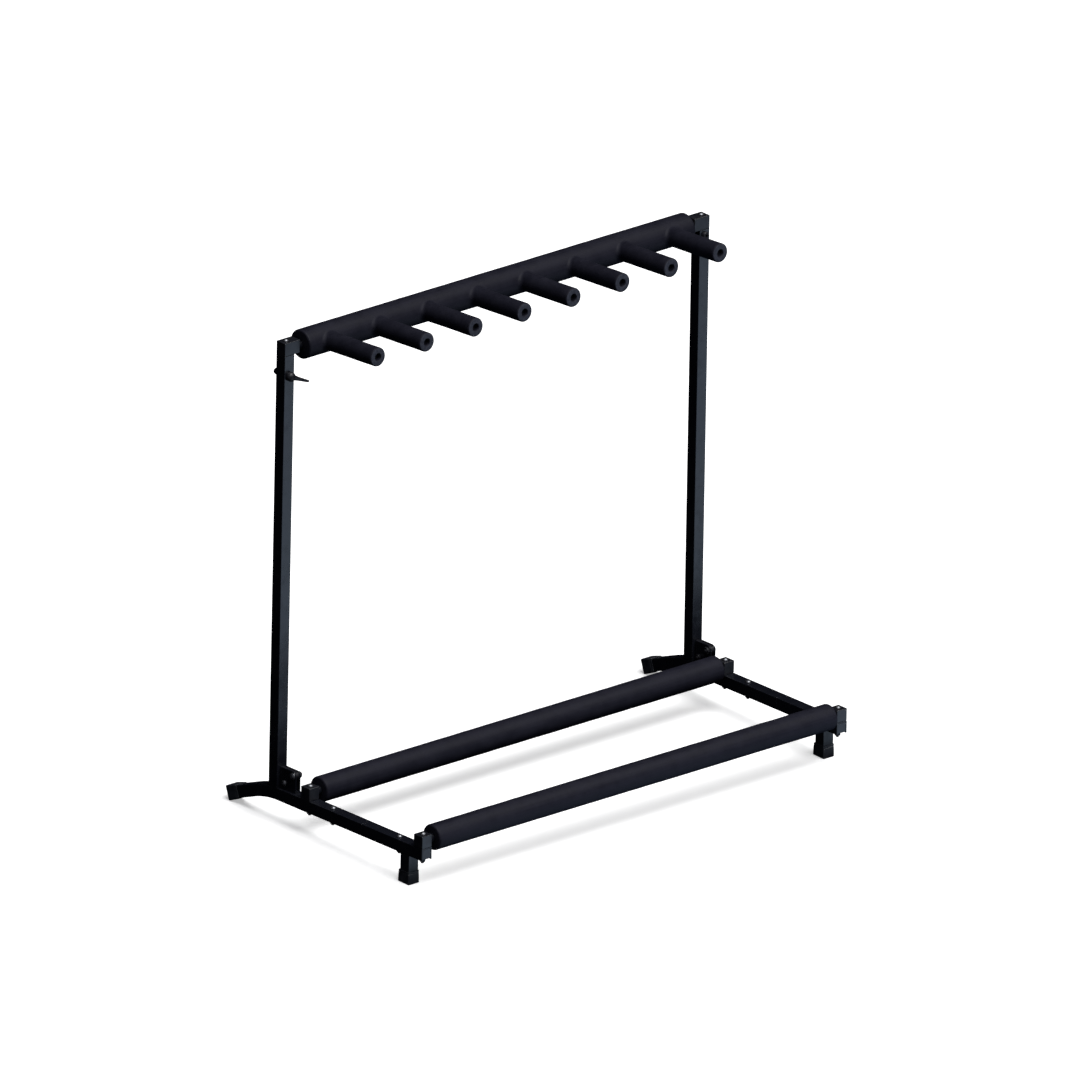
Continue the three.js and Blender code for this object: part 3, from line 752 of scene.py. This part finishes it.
def make_peg_sleeve(node, x, centre, bar_radius):
    """Sleeve of one peg, whose root flows into the bar's sleeve with a rolling fillet."""
    ball = PEG_FILLET
    place = about((x, centre.y, centre.z), (0, -math.cos(PEG_TILT), math.sin(PEG_TILT)))
    turns = [2 * math.pi * i / PEG_SIDES for i in range(PEG_SIDES)]

    def root(turn, share):
        """Point of the fillet, from the bar's sleeve (share 0) to the peg's side (share 1)."""
        across, up = (PEG_RADIUS + ball) * math.cos(turn), (PEG_RADIUS + ball) * math.sin(turn)
        # the bar lies along the section's first axis, so it curves away with the second
        along = math.sqrt((bar_radius + ball) ** 2 - up**2)
        middle = Vector((across, up, along))
        on_bar = Vector((0, -up, -along)).normalized()
        on_peg = Vector((-math.cos(turn), -math.sin(turn), 0))
        angle = on_bar.angle(on_peg)
        first = math.sin((1 - share) * angle) / math.sin(angle)
        second = math.sin(share * angle) / math.sin(angle)
        return middle + (on_bar * first + on_peg * second) * ball

    rings = []
    under = [root(turn, 0) for turn in turns]
    shrink = (bar_radius - PEG_ROOT_SUNK) / bar_radius
    rings.append([Vector((p.x, p.y * shrink, p.z * shrink)) for p in under])
    for step in range(PEG_ROOT_STEPS + 1):
        rings.append([root(turn, step / PEG_ROOT_STEPS) for turn in turns])
    side_end = PEG_REACH - PEG_EDGE
    sides = [root(turn, 1) for turn in turns]
    for step in range(1, PEG_SIDE_STEPS + 1):
        share = step / PEG_SIDE_STEPS
        rings.append([Vector((p.x, p.y, p.z + (side_end - p.z) * share)) for p in sides])
    for inset, along in rounded_edge(PEG_EDGE, PEG_REACH, -1, steps=6)[::-1][1:]:
        shrunk = circle(PEG_RADIUS - inset, PEG_SIDES)
        rings.append([Vector((a, u, along)) for a, u in shrunk])
    dish = [(9.5 * MM, 0.0), (PEG_BORE + 0.9 * MM, 0.1 * MM), (PEG_BORE, 1.0 * MM)]
    dish += [(PEG_BORE, 20 * MM), (PEG_BORE, PEG_REACH - 10 * MM)]
    for radius, depth in dish:
        rings.append([Vector((a, u, PEG_REACH - depth)) for a, u in circle(radius, PEG_SIDES)])
    bm = bmesh.new()
    loft(bm, [[place(*point) for point in points] for points in rings], closed=True)
    tip = place(0, 0, PEG_REACH)
    forward = (tip - place(0, 0, 0)).normalized()
    # the tip's end faces get the paler foam, whose extra lightness is painted light
    for face in bm.faces:
        behind_tip = (tip - face.calc_center_median()).dot(forward)
        face.material_index = int(behind_tip < SAWN_AND_LIT_DEPTH)
    soften(bm, centre, PEG_BORE)
    sleeve = add_piece(bm, node, "sleeve", foam, cut_foam_painted_light, soft=True)


# ---------------------------------------------------------------- bolts and the clamp
def threaded(bm, place, radius, start, end):
    """Threaded end of a bolt, drawn as ridges."""
    count = max(2, round(abs(end - start) / THREAD_PITCH))
    pitch = (end - start) / count
    groove = 0.12 * radius
    profile = [(radius, start)]
    for i in range(count):
        profile += [(radius, start + pitch * (i + 0.3))]
        profile += [(radius - groove, start + pitch * (i + 0.6))]
    profile += [(radius - groove, end)]
    turned(bm, place, profile)


def hex_nut(bm, place, radius, start, height, sign):
    """Hexagon nut with turned corners."""
    flat = radius * math.cos(math.pi / 6)
    steps = [(0.86, 0.0), (0.93, 0.1), (1.0, 0.22), (1.0, 0.78), (0.93, 0.9), (0.86, 1.0)]
    rings = [
        ring(hexagon(flat, reach), place, start + sign * height * share) for reach, share in steps
    ]
    loft(bm, rings)


def button_head(bm, place, radius, height):
    """Domed head with a flange and a hexagon socket, sitting on the surface at 0."""
    profile = [(radius * 0.98, 0), (radius, 0.12 * height), (radius, 0.3 * height)]
    profile += [(radius * 0.97, 0.4 * height), (radius * 0.86, 0.5 * height)]
    for step in range(1, 6):
        rise = math.sin(step / 5 * CROWN_TURN) / math.sin(CROWN_TURN)
        reach = 0.86 - (0.86 - 0.5) * step / 5
        profile.append((radius * reach, height * (0.5 + 0.5 * rise)))
    rings = [ring(circle(r), place, along) for r, along in profile]
    socket = 0.4 * radius
    rings.append(ring(hexagon(socket * 0.95), place, 0.96 * height))
    rings.append(ring(hexagon(socket * 0.92), place, 0.45 * height))
    loft(bm, rings)


def make_bolt(node, axis, head_sign, nut=True, scale=1.0):
    """Bolt and nut where the CAD node has them, with the head at the named end of its axis."""
    low, high = size_of(node)
    middle = (low + high) / 2
    head_end, far_end = (high, low) if head_sign > 0 else (low, high)
    direction = Vector((0, 0, 0))
    direction[axis] = head_sign
    seat = head_end[axis] - head_sign * HEAD_HEIGHT
    origin = middle.copy()
    origin[axis] = seat
    place = about(origin, direction)
    length = abs(seat - far_end[axis])
    radius = BOLT_RADIUS * scale
    bm = bmesh.new()
    button_head(bm, place, HEAD_RADIUS * scale, HEAD_HEIGHT)
    bright = set(bm.faces)
    if nut:
        nut_end = length - BOLT_TAIL
        hex_nut(bm, place, NUT_RADIUS * scale, -nut_end, NUT_HEIGHT, 1)
        threaded(bm, place, radius, -nut_end + 1 * MM, -length)
        for face in bm.faces:
            face.material_index = int(face not in bright)
    turned(bm, place, [(radius, 0.4 * MM), (radius, -length + 3 * MM)])
    add_piece(bm, node, "zinc", zinc, black_steel)


def make_clamp_lever():
    """Turned boss with one tapering arm that droops towards the middle of the rack."""
    node = "clamp_lever"
    low, high = size_of(node)
    upright = middle_of("upright_left")
    face = size_of("upright_left")[0].y - FIT
    z = middle_of("clamp_nut").z
    boss, depth = LEVER_BOSS, face - low.y
    bm = bmesh.new()
    front = about((upright.x, face, z), (0, -1, 0))
    profile = [(boss - 0.5 * MM, 0), (boss, 0.5 * MM), (boss, 0.55 * depth)]
    profile += [(boss * 0.93, 0.7 * depth), (boss * 0.8, 0.82 * depth)]
    profile += [(boss * 0.6, 0.93 * depth), (boss * 0.42, depth), (boss * 0.36, depth)]
    profile += [(boss * 0.34, depth - 1.2 * MM)]
    loft(bm, [ring(circle(r, 36), front, along) for r, along in profile])
    direction = Vector((math.cos(LEVER_DROOP), 0, -math.sin(LEVER_DROOP)))
    up = Vector((math.sin(LEVER_DROOP), 0, math.cos(LEVER_DROOP)))
    root = Vector((upright.x, face - 0.52 * depth, z))
    arm = []
    for step in range(LEVER_STEPS + 1):
        share = step / LEVER_STEPS
        along = LEVER_ROOT + LEVER_LENGTH * share
        tall = (1.9 + 1.9 * (1 - share) + 1.6 * (1 - share) ** 6) * MM
        deep = (1.5 + 1.6 * (1 - share)) * MM
        past = max(0.0, (share - 1 + LEVER_TIP_SHARE) / LEVER_TIP_SHARE)
        tip = math.sqrt(max(0.0, 1 - past**2))
        middle = root + direction * along
        size = max(tip, 0.25)
        deep_way = Vector((0, deep * size, 0))
        arm.append([middle + up * (u * tall * size) + deep_way * a for a, u in circle(1, 20)])
    loft(bm, arm)
    back = about((upright.x, face, z), (0, 1, 0))
    turned(bm, back, [(BOLT_RADIUS, -1 * MM), (BOLT_RADIUS, high.y - face)])
    add_piece(bm, node, "handle", black_steel)


def make_clamp_nut():
    node = "clamp_nut"
    low, high = size_of(node)
    middle = (low + high) / 2
    bm = bmesh.new()
    place = about((middle.x, low.y, middle.z), (0, 1, 0))
    hex_nut(bm, place, CLAMP_NUT_RADIUS, 0, CLAMP_NUT_HEIGHT, 1)
    rise = high.y - low.y - CLAMP_NUT_HEIGHT
    dome = [(4.8 * MM, CLAMP_NUT_HEIGHT - 0.3 * MM)]
    for step in range(7):
        turn = step / 6 * math.radians(80)
        dome.append((CLAMP_DOME_RADIUS * math.cos(turn), CLAMP_NUT_HEIGHT + rise * math.sin(turn)))
    turned(bm, place, dome)
    add_piece(bm, node, "acorn", black_steel)


def make_clamp_screw():
    """Round head of the right side's set screw, with a hexagon socket."""
    node = "clamp_screw"
    low, high = size_of(node)
    middle = middle_of(node)
    radius = (high.x - low.x) / 2
    face = size_of("upright_right")[0].y
    height = face - low.y
    bm = bmesh.new()
    place = about((middle.x, face, middle.z), (0, -1, 0))
    profile = [(radius - 0.4 * MM, 0), (radius, 0.4 * MM), (radius, 0.7 * height)]
    profile += [(radius * 0.93, 0.9 * height), (radius * 0.8, height), (radius * 0.56, height)]
    rings = [ring(circle(r), place, along) for r, along in profile]
    rings.append(ring(hexagon(radius * 0.44), place, 0.96 * height))
    rings.append(ring(hexagon(radius * 0.43), place, 0.42 * height))
    loft(bm, rings)
    turned(bm, place, [(BOLT_RADIUS, 0.5 * MM), (BOLT_RADIUS, face - high.y)])
    add_piece(bm, node, "head", black_steel)


# ---------------------------------------------------------------- CAD pieces kept as they are
def keep(node, material, width):
    """Gives a kept CAD piece its finish, and takes the knife edges off it."""
    piece = frame["nodes"][node]
    piece.data.materials.clear()
    piece.data.materials.append(material)
    weld = piece.modifiers.new("weld", "WELD")
    weld.merge_threshold = 0.001 * MM
    flat = piece.modifiers.new("flat", "DECIMATE")
    flat.decimate_type = "DISSOLVE"
    flat.angle_limit = math.radians(1)
    edge = piece.modifiers.new("edge", "BEVEL")
    edge.width = width
    edge.segments = 2
    edge.angle_limit = math.radians(50)
    edge.use_clamp_overlap = True


# ---------------------------------------------------------------- assembly
BASE_BOLTS = ("rear_bar_bolt", "front_bar_bolt", "rear_splice_bolt", "front_splice_bolt")
peg_nodes = sorted(
    (node for node in body_of if node.startswith("peg_foam_")), key=lambda node: middle_of(node).x
)
peg_places = [middle_of(node).x for node in peg_nodes]
top_centre = middle_of("top_bar_foam")
bar_radius = (size_of("top_bar_foam")[1].z - size_of("top_bar_foam")[0].z) / 2

for side, sign in SIDES.items():
    make_front_rail(side)
    make_upright(side)
    make_rear_cap(side, *make_rear_rail(side))
    make_front_foot(side)
    make_boot(side)
    for place_name in ("rear", "front", "top"):
        make_block(f"{place_name}_block_{side}")
    for bolt_name in BASE_BOLTS:
        make_bolt(f"{bolt_name}_{side}", 2, 1)
    make_bolt(f"top_bolt_{side}", 2, 1, nut=False)
    make_bolt(f"pivot_bolt_{side}", 0, sign, scale=1.2)
    make_bolt(f"stop_bolt_{side}", 0, sign)
    keep(f"bracket_{side}", paint, 0.35 * MM)
    keep(f"rail_splice_{side}", paint, 0.3 * MM)
    keep(f"tongue_{side}", black_steel, 0.3 * MM)
    keep(f"top_insert_{side}", black_steel, 0.4 * MM)

for place_name in ("rear", "front"):
    make_core(f"{place_name}_bar_core")
    make_bar_sleeve(f"{place_name}_bar_foam", middle_of(f"{place_name}_bar_foam"))
make_core("top_bar_core", stubs=peg_places)
make_bar_sleeve("top_bar_foam", top_centre)
for node, x in zip(peg_nodes, peg_places):
    make_peg_sleeve(node, x, top_centre, bar_radius)
make_clamp_lever()
make_clamp_nut()
make_clamp_screw()


# ---------------------------------------------------------------- camera, floor and light
CAMERA_AZIMUTH = math.radians(41.9)
CAMERA_ELEVATION = math.radians(21.2)
CAMERA_ROLL = math.radians(1.06)
CAMERA_AIM = Vector((106.7, 0.5, 272.1)) * MM
CAMERA_DISTANCE = 3.0
CAMERA_FRAME = 1.654  # width of the picture, in metres
FLOOR_GLOW = 0.42  # lifts the shadows on the floor


def make_camera():
    """Parallel view from the front left, a little above, with a slight roll."""
    azimuth, elevation, roll = CAMERA_AZIMUTH, CAMERA_ELEVATION, CAMERA_ROLL
    right = Vector((math.cos(azimuth), -math.sin(azimuth), 0))
    back = Vector(
        (
            -math.sin(azimuth) * math.cos(elevation),
            -math.cos(azimuth) * math.cos(elevation),
            math.sin(elevation),
        )
    )
    up = back.cross(right)
    turned_right = right * math.cos(roll) + up * math.sin(roll)
    turned_up = up * math.cos(roll) - right * math.sin(roll)
    axes = Matrix((turned_right, turned_up, back)).transposed().to_4x4()
    camera = bpy.data.objects.new("camera", bpy.data.cameras.new("camera"))
    camera.data.type = "ORTHO"
    camera.data.ortho_scale = CAMERA_FRAME
    camera.matrix_world = RACK @ Matrix.Translation(CAMERA_AIM + back * CAMERA_DISTANCE) @ axes
    bpy.context.scene.collection.objects.link(camera)
    bpy.context.scene.camera = camera


def make_floor():
    bm = bmesh.new()
    bmesh.ops.create_grid(bm, x_segments=1, y_segments=1, size=30)
    mesh = bpy.data.meshes.new("floor")
    bm.to_mesh(mesh)
    bm.free()
    floor = bpy.data.objects.new("floor", mesh)
    graph = Graph("pale_floor")
    glow = {"Emission_Color": (1.0, 1.0, 1.0, 1.0), "Emission_Strength": FLOOR_GLOW}
    pale = (0.97, 0.97, 0.97, 1.0)
    mesh.materials.append(graph.finish(pale, 0.9, Specular_IOR_Level=0.0, **glow))
    bpy.context.scene.collection.objects.link(floor)
    floor.visible_glossy = False
    floor.visible_diffuse = False


def sun(name, direction, strength, angle, colour=(1, 1, 1)):
    """Soft light from far away. The direction points from the rack towards the light."""
    light = bpy.data.lights.new(name, "SUN")
    light.energy = strength
    light.angle = math.radians(angle)
    light.color = colour
    lamp = bpy.data.objects.new(name, light)
    lamp.rotation_mode = "QUATERNION"
    lamp.rotation_quaternion = Vector(direction).to_track_quat("Z", "Y")
    bpy.context.scene.collection.objects.link(lamp)


def card(name, centre, normal, size, power, colour=(1, 1, 1)):
    """Soft light from a flat card that the camera doesn't see."""
    light = bpy.data.lights.new(name, "AREA")
    light.shape = "RECTANGLE"
    light.size, light.size_y = size
    light.energy = power
    light.color = colour
    lamp = bpy.data.objects.new(name, light)
    lamp.rotation_mode = "QUATERNION"
    lamp.rotation_quaternion = Vector(normal).to_track_quat("-Z", "Y")
    lamp.location = centre
    lamp.visible_camera = False
    bpy.context.scene.collection.objects.link(lamp)


def make_world():
    world = bpy.data.worlds.new("studio")
    world.use_nodes = True
    world.node_tree.nodes["Background"].inputs["Color"].default_value = (1, 1, 1, 1)
    bpy.context.scene.world = world
    visibility = world.cycles_visibility
    visibility.diffuse = False
    visibility.glossy = False


make_camera()
make_floor()
make_world()
bpy.context.scene.view_settings.view_transform = "Standard"
sun("key", (0.12, -0.4, 0.9), 3.8, 50)
sun("fill", (-0.8, -0.35, 0.45), 0.3, 90, (0.85, 0.88, 1.0))
card("floor_card", (0.87, -1.25, 0.002), (0, 0, 1), (2.56, 2.02), 11, (0.64, 0.79, 1.0))
